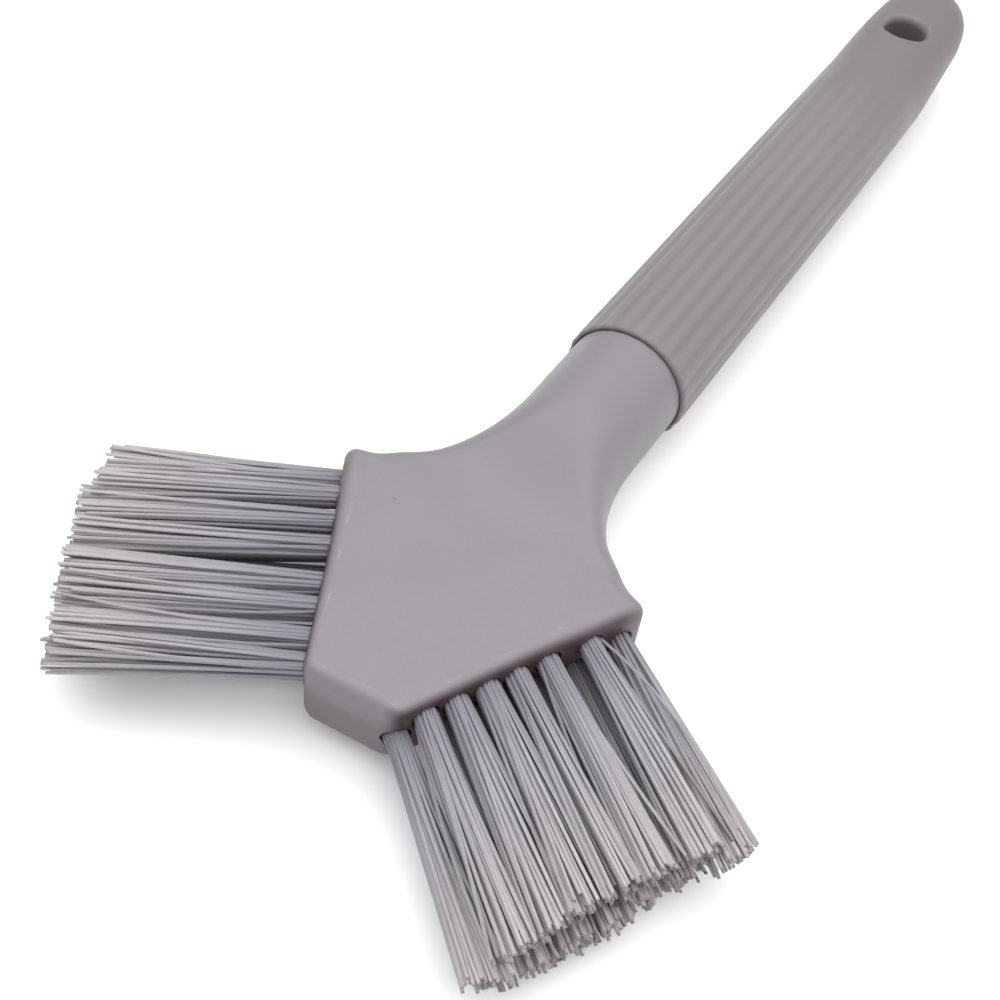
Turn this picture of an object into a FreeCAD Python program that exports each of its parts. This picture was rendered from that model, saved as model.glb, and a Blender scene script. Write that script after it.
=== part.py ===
import FreeCAD, Part
import Sketcher
import math
import os

# Hand brush for gaps and corners: a flat five-sided head with a bank of
# bristle tufts on each of its two front faces, and a ribbed grip with a
# hang hole that is pushed over a spigot on the neck of the head.
#
# Frame: +Z up, +Y from the bristles towards the hang hole, origin under the
# middle of the whole brush on the surface that it lies on. Millimetres.

doc = FreeCAD.newDocument("crevice_brush")
sheet = doc.addObject("Spreadsheet::Sheet", "params")

SIZES = [
    # head plate
    ("nose_y", -91.76), ("plate_z", 8.79), ("plate_thick", 9.83),
    ("nose_half", 6.3), ("corner_half", 23.55), ("corner_y", 33.8),
    ("edge_round", 1.3), ("edge_round_low", 0.7),
    # shoulder sections: distance from nose, half width, top, bottom, corner radius
    ("shoulder_a_y", 34.7), ("shoulder_a_w", 21.0), ("shoulder_a_top", 4.93), ("shoulder_a_low", 4.92), ("shoulder_a_r", 1.35),
    ("shoulder_b_y", 36.75), ("shoulder_b_w", 18.0), ("shoulder_b_top", 5.02), ("shoulder_b_low", 4.96), ("shoulder_b_r", 1.7),
    ("shoulder_c_y", 39.3), ("shoulder_c_w", 15.0), ("shoulder_c_top", 5.35), ("shoulder_c_low", 5.10), ("shoulder_c_r", 2.5),
    ("shoulder_d_y", 43.0), ("shoulder_d_w", 12.4), ("shoulder_d_top", 6.40), ("shoulder_d_low", 5.55), ("shoulder_d_r", 4.1),
    ("shoulder_e_y", 49.5), ("shoulder_e_w", 10.0), ("shoulder_e_top", 8.90), ("shoulder_e_low", 6.90), ("shoulder_e_r", 7.0),
    # neck and spigot
    ("axis_rise", 1.21), ("neck_y", 58.0), ("neck_r", 9.18), ("neck_flat", 0.3), ("loft_inset", 0.16),
    ("grip_y", 70.62), ("neck_seat", 4.0), ("spigot_r", 6.5), ("spigot_len", 34.0),
    ("key_half", 1.5), ("key_top", 7.5), ("key_len", 20.0),
    # bristle tufts
    ("tuft_hole_r", 1.85), ("tuft_hole_deep", 6.5), ("row_rise", 2.18), ("row_mid", -0.18), ("tuft_lean", 5.8),
    ("tuft_root_r", 1.80), ("tuft_r", 1.75), ("tuft_tip_r", 1.9),
    ("tuft_len", 32.5), ("tuft_gap", 1.0), ("root_proud", 0.05),
    ("anchor_wide", 4.1), ("anchor_thick", 0.42), ("anchor_tall", 1.6),
    # grip
    ("grip_r", 10.0), ("grip_end_r", 9.56), ("grip_len", 94.0), ("lip_round", 0.55),
    ("seat_r", 9.28), ("socket_r", 6.55), ("socket_deep", 39.0),
    ("keyway_half", 1.55), ("keyway_top", 7.55), ("keyway_len", 26.0),
    ("rib_count", 24), ("flute_r", 1.4), ("flute_centre", 11.04), ("flute_end_centre", 10.82), ("flute_len", 86.0), ("flute_lead", 2.0),
    # end of the grip: distance from the front lip, half width, top, bottom, corner radius
    ("end_a_y", 101.0), ("end_a_w", 9.42), ("end_a_top", 9.45), ("end_a_low", 8.8), ("end_a_r", 8.6),
    ("end_b_y", 108.0), ("end_b_w", 9.10), ("end_b_top", 9.15), ("end_b_low", 6.0), ("end_b_r", 6.8),
    ("end_c_y", 115.0), ("end_c_w", 8.70), ("end_c_top", 8.80), ("end_c_low", 4.1), ("end_c_r", 5.6),
    ("end_d_y", 121.0), ("end_d_w", 7.95), ("end_d_top", 8.45), ("end_d_low", 3.4), ("end_d_r", 5.1),
    ("end_e_y", 125.5), ("end_e_w", 6.45), ("end_e_top", 7.80), ("end_e_low", 2.5), ("end_e_r", 4.4),
    ("end_f_y", 128.8), ("end_f_w", 4.1), ("end_f_top", 6.50), ("end_f_low", 0.9), ("end_f_r", 3.2),
    ("end_g_y", 130.2), ("end_g_w", 1.6), ("end_g_top", 4.40), ("end_g_low", -1.2), ("end_g_r", 1.3),
    ("hang_y", 107.2), ("hang_r", 3.8),
]
P = {}
for row, (name, value) in enumerate(SIZES, start=1):
    sheet.set("A%d" % row, name)
    sheet.set("B%d" % row, repr(value))
    sheet.setAlias("B%d" % row, name)
    P[name] = float(value)
doc.recompute()


def cell(name):
    return "params.%s" % name


V = FreeCAD.Vector
ROT = FreeCAD.Rotation


def plane(body, role):
    for feature in body.Origin.OriginFeatures:
        if feature.Role == role:
            return feature
    raise RuntimeError("no origin feature " + role)


def sketch_on(body, name, role, depth=0.0, depth_cell=None):
    sk = body.newObject("Sketcher::SketchObject", name)
    sk.AttachmentSupport = [(plane(body, role), "")]
    sk.MapMode = "FlatFace"
    sk.AttachmentOffset = FreeCAD.Placement(V(0, 0, depth), ROT())
    if depth_cell:
        sk.setExpression("AttachmentOffset.Base.z", depth_cell)
    return sk


def fix_point(sk, geo, pos, x, y):
    # x and y are (value, expression) pairs measured from the sketch origin
    for kind, (value, text) in (("DistanceX", x), ("DistanceY", y)):
        if text is None:
            sk.addConstraint(Sketcher.Constraint(
                "PointOnObject", geo, pos, -2 if kind == "DistanceX" else -1))
        elif value >= 0:
            index = sk.addConstraint(Sketcher.Constraint(kind, -1, 1, geo, pos, value))
            sk.setExpression("Constraints[%d]" % index, text)
        else:
            index = sk.addConstraint(Sketcher.Constraint(kind, geo, pos, -1, 1, -value))
            sk.setExpression("Constraints[%d]" % index, "-(%s)" % text)


def polygon(sk, points):
    count = len(points)
    for i in range(count):
        a, b = points[i], points[(i + 1) % count]
        sk.addGeometry(Part.LineSegment(V(a[0][0], a[1][0], 0), V(b[0][0], b[1][0], 0)), False)
    for i in range(count):
        sk.addConstraint(Sketcher.Constraint("Coincident", i, 2, (i + 1) % count, 1))
        fix_point(sk, i, 1, points[i][0], points[i][1])


def round_box(sk, half, top, low, radius, low_radius=None):
    # rounded rectangle about the sketch's vertical axis: each size is a
    # (value, expression) pair, top above and low below the sketch origin
    low_radius = low_radius or radius
    w, t, b, r, q = half[0], top[0], low[0], radius[0], low_radius[0]
    spots = [(-w + q, -b), (w - q, -b), (w, -b + q), (w, t - r),
             (w - r, t), (-w + r, t), (-w, t - r), (-w, -b + q)]
    centres = [None, (w - q, -b + q), None, (w - r, t - r),
               None, (-w + r, t - r), None, (-w + q, -b + q)]
    turn = [0, -90, 0, 0, 0, 90, 0, 180]
    for i in range(8):
        a, e = spots[i], spots[(i + 1) % 8]
        if i % 2 == 0:
            sk.addGeometry(Part.LineSegment(V(a[0], a[1], 0), V(e[0], e[1], 0)), False)
        else:
            c = centres[i]
            circle = Part.Circle(V(c[0], c[1], 0), V(0, 0, 1), q if i in (1, 7) else r)
            start = math.radians(turn[i])
            sk.addGeometry(Part.ArcOfCircle(circle, start, start + math.pi / 2), False)
    for i in range(8):
        sk.addConstraint(Sketcher.Constraint("Tangent", i, 2, (i + 1) % 8, 1))
    for line in (0, 4):
        sk.addConstraint(Sketcher.Constraint("Horizontal", line))
    for line in (2, 6):
        sk.addConstraint(Sketcher.Constraint("Vertical", line))
    sk.addConstraint(Sketcher.Constraint("Equal", 1, 7))
    sk.addConstraint(Sketcher.Constraint("Equal", 3, 5))
    index = sk.addConstraint(Sketcher.Constraint("Radius", 1, q))
    sk.setExpression("Constraints[%d]" % index, low_radius[1])
    index = sk.addConstraint(Sketcher.Constraint("Radius", 3, r))
    sk.setExpression("Constraints[%d]" % index, radius[1])
    index = sk.addConstraint(Sketcher.Constraint("DistanceX", -1, 1, 2, 1, w))
    sk.setExpression("Constraints[%d]" % index, half[1])
    index = sk.addConstraint(Sketcher.Constraint("DistanceX", 6, 1, -1, 1, w))
    sk.setExpression("Constraints[%d]" % index, half[1])
    index = sk.addConstraint(Sketcher.Constraint("DistanceY", -1, 1, 4, 1, t))
    sk.setExpression("Constraints[%d]" % index, top[1])
    if b >= 0:
        index = sk.addConstraint(Sketcher.Constraint("DistanceY", 0, 1, -1, 1, b))
        sk.setExpression("Constraints[%d]" % index, low[1])
    else:
        index = sk.addConstraint(Sketcher.Constraint("DistanceY", -1, 1, 0, 1, -b))
        sk.setExpression("Constraints[%d]" % index, "-(%s)" % low[1])


def pair(name):
    return (P[name], cell(name))


def circle(sk, x, y, radius):
    index = sk.addGeometry(Part.Circle(V(x[0], y[0], 0), V(0, 0, 1), radius[0]), False)
    fix_point(sk, index, 3, x, y)
    number = sk.addConstraint(Sketcher.Constraint("Radius", index, radius[0]))
    sk.setExpression("Constraints[%d]" % number, radius[1])


ZERO = (0.0, None)

# ---------------------------------------------------------------- head block
# local frame: nose centre at plate mid thickness, Y towards the grip
head = doc.addObject("PartDesign::Body", "head_block")
head.Label = "head_block"
head.Placement = FreeCAD.Placement(V(0, P["nose_y"], P["plate_z"]), ROT())
head.setExpression("Placement.Base.y", cell("nose_y"))
head.setExpression("Placement.Base.z", cell("plate_z"))
half_thick = (P["plate_thick"] / 2, cell("plate_thick") + " / 2")


def head_section(name, dist, half, top, low, radius, low_radius=None):
    sk = sketch_on(head, name, "XZ_Plane", -dist[0], "-(%s)" % dist[1])
    round_box(sk, half, top, low, radius, low_radius)
    return sk


nose = head_section("nose_section", (0.0, "0 * " + cell("nose_half")), pair("nose_half"), half_thick, half_thick, pair("edge_round"), pair("edge_round_low"))
wide = head_section("corner_section", pair("corner_y"), pair("corner_half"), half_thick, half_thick, pair("edge_round"), pair("edge_round_low"))
plate = head.newObject("PartDesign::AdditiveLoft", "plate_loft")
plate.Profile = nose
plate.Sections = [wide]
plate.Ruled = True
doc.recompute()

start = head_section("shoulder_start", pair("corner_y"), pair("corner_half"), half_thick, half_thick, pair("edge_round"), pair("edge_round_low"))
sections = []
for tag in "abcde":
    key = "shoulder_%s_" % tag
    sections.append(head_section("shoulder_section_" + tag, pair(key + "y"), pair(key + "w"), pair(key + "top"), pair(key + "low"), pair(key + "r")))
# the last section lies just inside the round neck that it runs into
inner = P["neck_r"] - P["loft_inset"]
inner_text = "(%s - %s)" % (cell("neck_r"), cell("loft_inset"))
neck_top = (P["axis_rise"] + inner, "%s + %s" % (cell("axis_rise"), inner_text))
neck_low = (inner - P["axis_rise"], "%s - %s" % (inner_text, cell("axis_rise")))
neck_round = (inner - P["neck_flat"], "%s - %s" % (inner_text, cell("neck_flat")))
sections.append(head_section("neck_section", pair("neck_y"), (inner, inner_text), neck_top, neck_low, neck_round))
shoulder = head.newObject("PartDesign::AdditiveLoft", "shoulder_loft")
shoulder.Profile = start
shoulder.Sections = sections
shoulder.Ruled = False
doc.recompute()

neck_sketch = sketch_on(head, "neck_sketch", "XZ_Plane", -P["neck_y"], "-" + cell("neck_y"))
circle(neck_sketch, ZERO, pair("axis_rise"), pair("neck_r"))
neck = head.newObject("PartDesign::Pad", "neck")
neck.Profile = neck_sketch
neck.Length = P["grip_y"] + P["neck_seat"] - P["neck_y"]
neck.setExpression("Length", "%s + %s - %s" % (cell("grip_y"), cell("neck_seat"), cell("neck_y")))
neck.Reversed = True
spigot_sketch = sketch_on(head, "spigot_sketch", "XZ_Plane", -P["neck_y"], "-" + cell("neck_y"))
circle(spigot_sketch, ZERO, pair("axis_rise"), pair("spigot_r"))
spigot = head.newObject("PartDesign::Pad", "spigot")
spigot.Profile = spigot_sketch
spigot.Length = P["grip_y"] + P["neck_seat"] + P["spigot_len"] - P["neck_y"]
spigot.setExpression("Length", "%s + %s + %s - %s" % (cell("grip_y"), cell("neck_seat"), cell("spigot_len"), cell("neck_y")))
spigot.Reversed = True
key_sketch = sketch_on(head, "key_sketch", "XZ_Plane", -P["neck_y"], "-" + cell("neck_y"))
axis_pair = pair("axis_rise")
key_top = (P["axis_rise"] + P["key_top"], "%s + %s" % (cell("axis_rise"), cell("key_top")))
polygon(key_sketch, [((-P["key_half"], "-" + cell("key_half")), axis_pair), (pair("key_half"), axis_pair),
                     (pair("key_half"), key_top), ((-P["key_half"], "-" + cell("key_half")), key_top)])
key_pad = head.newObject("PartDesign::Pad", "spigot_key")
key_pad.Profile = key_sketch
key_pad.Length = P["grip_y"] + P["neck_seat"] + P["key_len"] - P["neck_y"]
key_pad.setExpression("Length", "%s + %s + %s - %s" % (cell("grip_y"), cell("neck_seat"), cell("key_len"), cell("neck_y")))
key_pad.Reversed = True
doc.recompute()

# tuft places along a face, measured from the nose corner
along = V(P["corner_half"] - P["nose_half"], P["corner_y"], 0)
along.normalize()
TUFTS = {
    "right": {"upper": [5.65, 9.75, 14.1, 18.25, 22.95, 29.2], "lower": [8.1, 12.5, 16.9, 21.4, 26.8], "end": [2.15, 34.2]},
    "left": {"upper": [2.15, 6.1, 11.0, 14.95, 21.0, 25.5, 29.9], "lower": [9.4, 14.2, 19.2, 24.3, 28.9], "end": [34.2]},
}
RISE = {"upper": 1.0, "lower": -1.0, "end": 0.0}


def face_frame(side):
    # origin at the nose corner, x along the face, y up, z out of the face
    sign = 1.0 if side == "right" else -1.0
    t = V(sign * along.x, along.y, 0)
    n = V(sign * along.y, -along.x, 0)
    if side == "right":
        m = FreeCAD.Matrix(t.x, 0, n.x, sign * P["nose_half"], t.y, 0, n.y, 0, 0, 1, n.z, 0, 0, 0, 0, 1)
    else:
        # mirrored: x runs from the outer corner back to the nose
        m = FreeCAD.Matrix(-t.x, 0, n.x, sign * P["nose_half"], -t.y, 0, n.y, 0, 0, 1, n.z, 0, 0, 0, 0, 1)
    return FreeCAD.Placement(m)


for side in ("right", "left"):
    flip = 1.0 if side == "right" else -1.0
    for what in ("holes", "anchor_slots"):
        sk = head.newObject("Sketcher::SketchObject", "%s_%s_sketch" % (side, what))
        sk.AttachmentSupport = [(plane(head, "XY_Plane"), "")]
        sk.MapMode = "FlatFace"
        sk.AttachmentOffset = face_frame(side)
        for row in ("upper", "lower", "end"):
            y = (RISE[row] * P["row_rise"] + P["row_mid"], "%g * %s + %s" % (RISE[row], cell("row_rise"), cell("row_mid")))
            for s in TUFTS[side][row]:
                x = flip * s
                if what == "holes":
                    circle(sk, (x, "%r" % x), y, pair("tuft_hole_r"))
                else:
                    a, h = P["anchor_thick"] / 2, P["anchor_wide"] / 2
                    first = sk.GeometryCount
                    corners = [(x - a, y[0] - h), (x + a, y[0] - h), (x + a, y[0] + h), (x - a, y[0] + h)]
                    for i in range(4):
                        p, q = corners[i], corners[(i + 1) % 4]
                        sk.addGeometry(Part.LineSegment(V(p[0], p[1], 0), V(q[0], q[1], 0)), False)
                    for i in range(4):
                        sk.addConstraint(Sketcher.Constraint("Coincident", first + i, 2, first + (i + 1) % 4, 1))
                    for i in (0, 2):
                        sk.addConstraint(Sketcher.Constraint("Horizontal", first + i))
                    for i in (1, 3):
                        sk.addConstraint(Sketcher.Constraint("Vertical", first + i))
                    number = sk.addConstraint(Sketcher.Constraint("DistanceX", first, 1, first, 2, 2 * a))
                    sk.setExpression("Constraints[%d]" % number, cell("anchor_thick"))
                    number = sk.addConstraint(Sketcher.Constraint("DistanceY", first + 1, 1, first + 1, 2, 2 * h))
                    sk.setExpression("Constraints[%d]" % number, cell("anchor_wide"))
                    rise = "%s - %s / 2" % (y[1], cell("anchor_wide"))
                    fix_point(sk, first, 1, (x - a, "%r - %s / 2" % (x, cell("anchor_thick"))), (y[0] - h, rise))
        pocket = head.newObject("PartDesign::Pocket", "%s_%s" % (side, what))
        pocket.Profile = sk
        pocket.Length = P["tuft_hole_deep"]
        pocket.setExpression("Length", cell("tuft_hole_deep"))
        doc.recompute()

# --------------------------------------------------------------- grip handle
# local frame: on the handle's axis at the front lip, Y towards the hang hole
grip = doc.addObject("PartDesign::Body", "grip_handle")
grip.Label = "grip_handle"
grip.Placement = FreeCAD.Placement(V(0, P["nose_y"] + P["grip_y"], P["plate_z"] + P["axis_rise"]), ROT())
grip.setExpression("Placement.Base.y", "%s + %s" % (cell("nose_y"), cell("grip_y")))
grip.setExpression("Placement.Base.z", "%s + %s" % (cell("plate_z"), cell("axis_rise")))
sleeve_sketch = sketch_on(grip, "sleeve_sketch", "XY_Plane")
lip_inner = (P["grip_r"] - P["lip_round"], "%s - %s" % (cell("grip_r"), cell("lip_round")))
polygon(sleeve_sketch, [
    (ZERO, ZERO), (lip_inner, ZERO), (pair("grip_r"), pair("lip_round")),
    (pair("grip_end_r"), pair("grip_len")), (ZERO, pair("grip_len"))])
sleeve = grip.newObject("PartDesign::Revolution", "sleeve")
sleeve.Profile = sleeve_sketch
sleeve.ReferenceAxis = (sleeve_sketch, ["V_Axis"])
sleeve.Angle = 360.0
doc.recompute()

# the first flute stands half a step off the top, so that a rib runs along the top
half_step = math.pi / P["rib_count"]


def beside_top(name):
    return ((P[name] * math.sin(half_step), "%s * sin(180 deg / %s)" % (cell(name), cell("rib_count"))),
            (P[name] * math.cos(half_step), "%s * cos(180 deg / %s)" % (cell(name), cell("rib_count"))))


flute_sketch = sketch_on(grip, "flute_sketch", "XZ_Plane", P["flute_lead"], cell("flute_lead"))
circle(flute_sketch, *beside_top("flute_centre"), pair("flute_r"))
flute_end = sketch_on(grip, "flute_end_sketch", "XZ_Plane", -P["flute_len"], "-" + cell("flute_len"))
circle(flute_end, *beside_top("flute_end_centre"), pair("flute_r"))
flute = grip.newObject("PartDesign::SubtractiveLoft", "flute")
flute.Profile = flute_sketch
flute.Sections = [flute_end]
flute.Ruled = True
doc.recompute()
ring = grip.newObject("PartDesign::PolarPattern", "flutes")
ring.Originals = [flute]
ring.Axis = (plane(grip, "Y_Axis"), [""])
ring.Angle = 360.0
ring.Occurrences = int(P["rib_count"])
ring.setExpression("Occurrences", cell("rib_count"))
grip.Tip = ring
doc.recompute()


def grip_section(name, dist, half, top, low, radius):
    sk = sketch_on(grip, name, "XZ_Plane", -dist[0], "-" + dist[1])
    round_box(sk, half, top, low, radius)
    return sk


inner = P["grip_end_r"] - P["loft_inset"]
inner_text = "(%s - %s)" % (cell("grip_end_r"), cell("loft_inset"))
inner_pair = (inner, inner_text)
end_round = (inner - P["neck_flat"], "%s - %s" % (inner_text, cell("neck_flat")))
start = grip_section("end_start", pair("grip_len"), inner_pair, inner_pair, inner_pair, end_round)
sections = []
for tag in "abcdefg":
    key = "end_%s_" % tag
    sections.append(grip_section("end_section_" + tag, pair(key + "y"), pair(key + "w"), pair(key + "top"), pair(key + "low"), pair(key + "r")))
tail = grip.newObject("PartDesign::AdditiveLoft", "hang_end")
tail.Profile = start
tail.Sections = sections
tail.Ruled = False
doc.recompute()

for name, radius, depth in (("neck_seat_bore", "seat_r", "neck_seat"), ("socket", "socket_r", "socket_deep")):
    sk = sketch_on(grip, name + "_sketch", "XZ_Plane")
    circle(sk, ZERO, ZERO, pair(radius))
    bore = grip.newObject("PartDesign::Pocket", name)
    bore.Profile = sk
    bore.Length = P[depth]
    bore.setExpression("Length", cell(depth))
    doc.recompute()
sk = sketch_on(grip, "keyway_sketch", "XZ_Plane")
polygon(sk, [((-P["keyway_half"], "-" + cell("keyway_half")), ZERO), (pair("keyway_half"), ZERO),
             (pair("keyway_half"), pair("keyway_top")), ((-P["keyway_half"], "-" + cell("keyway_half")), pair("keyway_top"))])
keyway = grip.newObject("PartDesign::Pocket", "keyway")
keyway.Profile = sk
keyway.Length = P["keyway_len"]
keyway.setExpression("Length", cell("keyway_len"))
doc.recompute()
sk = sketch_on(grip, "hang_hole_sketch", "XY_Plane")
circle(sk, ZERO, pair("hang_y"), pair("hang_r"))
hang = grip.newObject("PartDesign::Pocket", "hang_hole")
hang.Profile = sk
hang.Type = 1
hang.Midplane = True
doc.recompute()

# -------------------------------------------------------------- bristle tufts
parts = [head, grip]


def tuft_placement(side, s, rise, out, lean=0.0):
    # z along the tuft, starting at the given distance out of the face and
    # leaning towards the nose by the given angle
    sign = 1.0 if side == "right" else -1.0
    t = V(sign * along.x, along.y, 0)
    n = V(sign * along.y, -along.x, 0) * math.cos(math.radians(lean)) - t * math.sin(math.radians(lean))
    base = V(sign * P["nose_half"], P["nose_y"], P["plate_z"]) + t * s + V(0, 0, rise) + n * out
    x = V(0, 0, 1).cross(n)
    m = FreeCAD.Matrix(x.x, 0, n.x, base.x, x.y, 0, n.y, base.y, x.z, 1, n.z, base.z, 0, 0, 0, 1)
    return FreeCAD.Placement(m)


for side in ("left", "right"):
    roots, anchors = [], []
    number = 0
    for row in ("upper", "lower", "end"):
        for i, s in enumerate(TUFTS[side][row], start=1):
            number += 1
            rise = RISE[row] * P["row_rise"] + P["row_mid"]
            cone = doc.addObject("Part::Cone", "tuft_%s_%s_%d" % (side, row, i))
            cone.Label = "tuft_%s_%s_%d" % (side, row, i)
            cone.setExpression("Radius1", cell("tuft_r"))
            cone.setExpression("Radius2", cell("tuft_tip_r"))
            cone.setExpression("Height", "%s - %s" % (cell("tuft_len"), cell("tuft_gap")))
            cone.Placement = tuft_placement(side, s, rise, P["tuft_gap"], P["tuft_lean"])
            parts.append(cone)
            # folded root with the anchor across its fold
            shank = doc.addObject("Part::Cylinder", "root_shank_%s_%d" % (side, number))
            shank.setExpression("Radius", cell("tuft_root_r"))
            shank.setExpression("Height", "%s + %s" % (cell("tuft_hole_deep"), cell("root_proud")))
            shank.Placement = tuft_placement(side, s, rise, -P["tuft_hole_deep"])
            wire = doc.addObject("Part::Box", "anchor_%s_%d" % (side, number))
            wire.setExpression("Length", cell("anchor_thick"))
            wire.setExpression("Width", cell("anchor_wide"))
            wire.setExpression("Height", cell("anchor_tall"))
            shift = FreeCAD.Placement(V(-P["anchor_thick"] / 2, -P["anchor_wide"] / 2, 0), ROT())
            wire.Placement = tuft_placement(side, s, rise, -P["tuft_hole_deep"]).multiply(shift)
            root = doc.addObject("Part::Cut", "root_%s_%d" % (side, number))
            root.Base = shank
            root.Tool = wire
            roots.append(root)
            anchors.append(wire)
    for name, members in (("tuft_roots_" + side, roots), ("tuft_anchors_" + side, anchors)):
        group = doc.addObject("Part::Compound", name)
        group.Label = name
        group.Links = members
        parts.append(group)
doc.recompute()

# ------------------------------------------------------------------ checking
for obj in doc.Objects:
    if "Invalid" in obj.State or "Error" in obj.State:
        raise RuntimeError("failed: %s %s" % (obj.Name, obj.State))
for obj in parts:
    if obj.Shape.isNull() or not obj.Shape.isValid():
        raise RuntimeError("bad shape: " + obj.Label)

os.makedirs("parts", exist_ok=True)
box = FreeCAD.BoundBox()
for obj in parts:
    obj.Shape.exportStep("parts/%s.step" % obj.Label)
    box.add(obj.Shape.BoundBox)
    if not obj.Label.startswith("tuft_left_") and not obj.Label.startswith("tuft_right_"):
        print(obj.Label, len(obj.Shape.Solids), round(obj.Shape.Volume, 1), obj.Shape.BoundBox)
print("whole", box)
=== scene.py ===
import math

import bpy
import numpy as np
from mathutils import Matrix


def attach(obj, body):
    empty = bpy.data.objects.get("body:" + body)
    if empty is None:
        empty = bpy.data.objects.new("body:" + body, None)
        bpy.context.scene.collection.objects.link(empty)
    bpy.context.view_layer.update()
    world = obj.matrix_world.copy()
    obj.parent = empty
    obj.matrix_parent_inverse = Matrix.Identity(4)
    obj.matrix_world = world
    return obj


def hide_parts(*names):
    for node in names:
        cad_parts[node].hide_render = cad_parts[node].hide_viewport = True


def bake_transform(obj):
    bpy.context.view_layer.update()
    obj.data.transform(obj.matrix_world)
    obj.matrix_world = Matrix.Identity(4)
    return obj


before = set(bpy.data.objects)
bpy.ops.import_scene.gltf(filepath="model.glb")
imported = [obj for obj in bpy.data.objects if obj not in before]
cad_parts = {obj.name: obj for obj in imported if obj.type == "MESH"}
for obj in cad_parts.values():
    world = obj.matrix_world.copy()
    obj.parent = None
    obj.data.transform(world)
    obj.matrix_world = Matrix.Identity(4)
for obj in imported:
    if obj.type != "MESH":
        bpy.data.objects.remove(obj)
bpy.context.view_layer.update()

# All lengths below are in millimetres until a mesh is made.
MM = 0.001
NOSE_Y, PLATE_Z = -91.76, 8.79           # nose centre of the head, at mid thickness
HALF_THICK = 4.915
AXIS_RISE, GRIP_Y = 1.21, 70.62          # handle axis above the plate's middle; front lip of the grip behind the nose
NOSE_HALF, CORNER_HALF, CORNER_Y = 6.3, 23.55, 33.8
FACE = math.hypot(CORNER_HALF - NOSE_HALF, CORNER_Y)
TX, TY = (CORNER_HALF - NOSE_HALF) / FACE, CORNER_Y / FACE   # along the right bristle face, away from the nose
NECK_R, NECK_END, SPIGOT_R, SPIGOT_END = 9.18, 74.5, 6.5, 108.5
SLANT = -0.075                           # the nose is not quite square to the handle


# ---------------------------------------------------------------- curves and implicit shapes
def spline(points, first=0.0, last=0.0):
    """A smooth curve through points, with the given end slopes, straight beyond its ends. Returns value and slope."""
    x, y = np.array(points, float).T
    n, h = len(x), np.diff(np.array(points, float)[:, 0])
    a, b = np.zeros((n, n)), np.zeros(n)
    a[0, 0] = a[-1, -1] = 1
    b[0], b[-1] = first, last
    for i in range(1, n - 1):
        a[i, i - 1], a[i, i], a[i, i + 1] = 1 / h[i - 1], 2 / h[i - 1] + 2 / h[i], 1 / h[i]
        b[i] = 3 * ((y[i] - y[i - 1]) / h[i - 1] ** 2 + (y[i + 1] - y[i]) / h[i] ** 2)
    m = np.linalg.solve(a, b)

    def at(v):
        v = np.asarray(v, float)
        i = np.clip(np.searchsorted(x, v) - 1, 0, n - 2)
        w = h[i]
        t = np.clip((v - x[i]) / w, 0, 1)
        value = ((1 + 2 * t) * (1 - t) ** 2 * y[i] + t * (1 - t) ** 2 * w * m[i]
                 + t * t * (3 - 2 * t) * y[i + 1] + t * t * (t - 1) * w * m[i + 1])
        slope = (6 * t * (t - 1) * (y[i] - y[i + 1]) / w + (1 - t) * (1 - 3 * t) * m[i] + t * (3 * t - 2) * m[i + 1])
        value = value + np.where(v < x[0], first * (v - x[0]), 0) + np.where(v > x[-1], last * (v - x[-1]), 0)
        return value, slope
    return at


def both(a, b, r):
    """Where two shapes overlap, with the outer edge between them rounded to radius r."""
    u, v = np.maximum(a + r, 0), np.maximum(b + r, 0)
    return np.minimum(np.maximum(a, b), -r) + np.sqrt(u * u + v * v)


def ease(t):
    t = np.clip(t, 0, 1)
    return t * t * (3 - 2 * t)


class Shape:
    """A solid given by a signed function, with local cuts that are only worked out inside their own boxes."""

    def __init__(self, base, cuts=()):
        self.base, self.cuts = base, cuts

    def grid(self, xs, ys, zs):
        out = np.empty((len(xs), len(ys), len(zs)), np.float32)
        for j in range(0, len(ys), 32):
            out[:, j:j + 32] = self.base(xs[:, None, None], ys[None, j:j + 32, None], zs[None, None, :])
        for low, high, cut in self.cuts:
            i, j, k = (slice(*np.searchsorted(v, (a, b))) for v, a, b in zip((xs, ys, zs), low, high))
            out[i, j, k] = cut(xs[i][:, None, None], ys[j][None, :, None], zs[k][None, None, :], out[i, j, k])
        return out

    def at(self, p):
        x, y, z = p.T
        out = np.array(self.base(x, y, z))
        for low, high, cut in self.cuts:
            near = np.nonzero(((p > low) & (p < high)).all(1))[0]
            if len(near):
                out[near] = cut(x[near], y[near], z[near], out[near])
        return out

    def slope(self, p, e=0.02):
        g = np.empty_like(p)
        for k in range(3):
            d = np.zeros(3)
            d[k] = e
            g[:, k] = (self.at(p + d) - self.at(p - d)) / (2 * e)
        return g


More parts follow.
